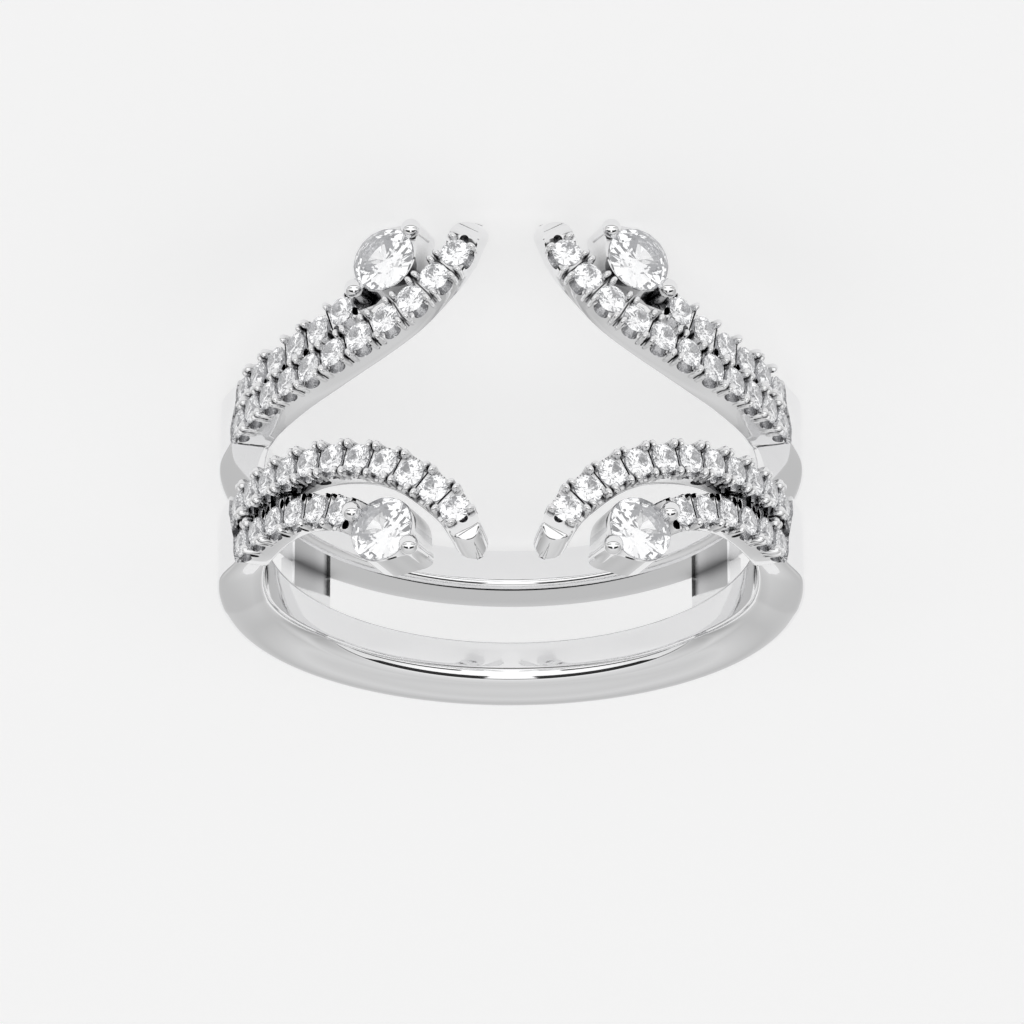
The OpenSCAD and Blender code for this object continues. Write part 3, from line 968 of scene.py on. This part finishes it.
def set_floor():
    """Pale floor under the ring, with a glow that keeps the picture's ground light."""
    bm = bmesh.new()
    bmesh.ops.create_grid(bm, x_segments=1, y_segments=1, size=FLOOR_HALF)
    floor = as_object(bm, "floor")
    material = bpy.data.materials.new("pale_floor")
    material.use_nodes = True
    surface = material.node_tree.nodes["Principled BSDF"]
    surface.inputs["Base Color"].default_value = FLOOR_GREY
    surface.inputs["Roughness"].default_value = FLOOR_ROUGHNESS
    surface.inputs["Specular IOR Level"].default_value = 0.0
    surface.inputs["Emission Color"].default_value = WHITE
    surface.inputs["Emission Strength"].default_value = FLOOR_GLOW_STRENGTH
    floor.data.materials.append(material)


# Brightness of the studio by elevation in degrees: 0 is the horizon before the ring and 180 that behind it
STUDIO = (
    (-180, 1.0), (0, 1.0), (2, 0.15), (7, 0.1), (9, 1.1), (30, 1.15), (82, 1.15), (84, 0.02), (87, 0.02),
    (89, 0.95), (100, 0.78), (135, 0.66), (146, 0.72), (165, 0.56), (180, 0.7),
)
# Black cards over the ring: elevations from and to, distances aside from and to, as a share of the view
CARDS = ((64, 85, 0.16, 0.8), (28, 35, 0.4, 0.95))
CARD_EDGE = 0.035
CARD_LEFT = 0.03
# The studio gets dimmer to its sides: the distance aside at which that starts, and what is left
STUDIO_SIDE_START = 0.5
STUDIO_SIDES = 0.7


def studio_math(tree, operation, first, second):
    """Math node on two values, each a number or an output."""
    node = tree.nodes.new("ShaderNodeMath")
    node.operation = operation
    for socket, value in zip(node.inputs, (first, second)):
        if isinstance(value, bpy.types.NodeSocket):
            tree.links.new(value, socket)
        else:
            socket.default_value = value
    return node.outputs["Value"]


def studio_step(tree, value, start, end, low, high):
    """Smooth step of a value from low at start to high at end."""
    node = tree.nodes.new("ShaderNodeMapRange")
    node.interpolation_type = "SMOOTHSTEP"
    tree.links.new(value, node.inputs["Value"])
    node.inputs["From Min"].default_value = start
    node.inputs["From Max"].default_value = end
    node.inputs["To Min"].default_value = low
    node.inputs["To Max"].default_value = high
    return node.outputs["Result"]


def set_world():
    """White studio with dark cards before and over the ring, and a greyer wall behind it."""
    world = bpy.data.worlds.new("studio")
    world.use_nodes = True
    tree = world.node_tree
    direction = tree.nodes.new("ShaderNodeTexCoord")
    parts = tree.nodes.new("ShaderNodeSeparateXYZ")
    tree.links.new(direction.outputs["Generated"], parts.inputs["Vector"])
    forward = studio_math(tree, "MULTIPLY", parts.outputs["Y"], -1.0)
    elevation = studio_math(tree, "ARCTAN2", parts.outputs["Z"], forward)
    aside = studio_math(tree, "ABSOLUTE", parts.outputs["X"], 0.0)
    share = studio_math(tree, "DIVIDE", studio_math(tree, "ADD", elevation, math.pi), 2 * math.pi)
    ramp = tree.nodes.new("ShaderNodeValToRGB")
    tree.links.new(share, ramp.inputs["Fac"])
    stops = ramp.color_ramp.elements
    middle = 0.5
    while len(stops) < len(STUDIO):
        stops.new(middle)
    for stop, (degrees, bright) in zip(stops, STUDIO):
        stop.position = (degrees + 180) / 360
        stop.color = (bright, bright, bright, 1)
    strength = studio_step(tree, aside, STUDIO_SIDE_START, 1, 1, STUDIO_SIDES)
    for low, high, near, far in CARDS:
        low, high = math.radians(low), math.radians(high)
        card = studio_step(tree, elevation, low - CARD_EDGE, low, 0, 1)
        for value, start, end, first, last in (
            (elevation, high, high + CARD_EDGE, 1, 0),
            (aside, near - CARD_EDGE, near, 0, 1),
            (aside, far, far + CARD_EDGE, 1, 0),
        ):
            edge = studio_step(tree, value, start, end, first, last)
            card = studio_math(tree, "MULTIPLY", card, edge)
        strength = studio_math(tree, "MULTIPLY", strength, studio_step(tree, card, 0, 1, 1, CARD_LEFT))
    background = tree.nodes["Background"]
    tree.links.new(ramp.outputs["Color"], background.inputs["Color"])
    tree.links.new(strength, background.inputs["Strength"])
    bpy.context.scene.world = world
    bpy.context.scene.view_settings.view_transform = "Standard"


set_camera()
set_floor()
set_world()
metal = white_metal()
stone = clear_stone()

finish_piece(guard_body(), metal, ["guard_body"], METAL_SHARP_ANGLE)
templates = {
    "round_stone": (round_stone("stone"), "round_stone"),
    "long_pave": (row_stones(LONG_ROW, "stone"), "pave_stone"),
    "short_pave": (row_stones(SHORT_ROW, "stone"), "pave_stone"),
}
for kind, (source, slot) in templates.items():
    for front in (False, True):
        for right in (False, True):
            node = f"{kind}_{'front' if front else 'back'}_{'right' if right else 'left'}"
            piece = quarter_copy(source, front, right, node + "_cut")
            finish_piece(piece, stone, [node])
    bpy.data.objects.remove(source)
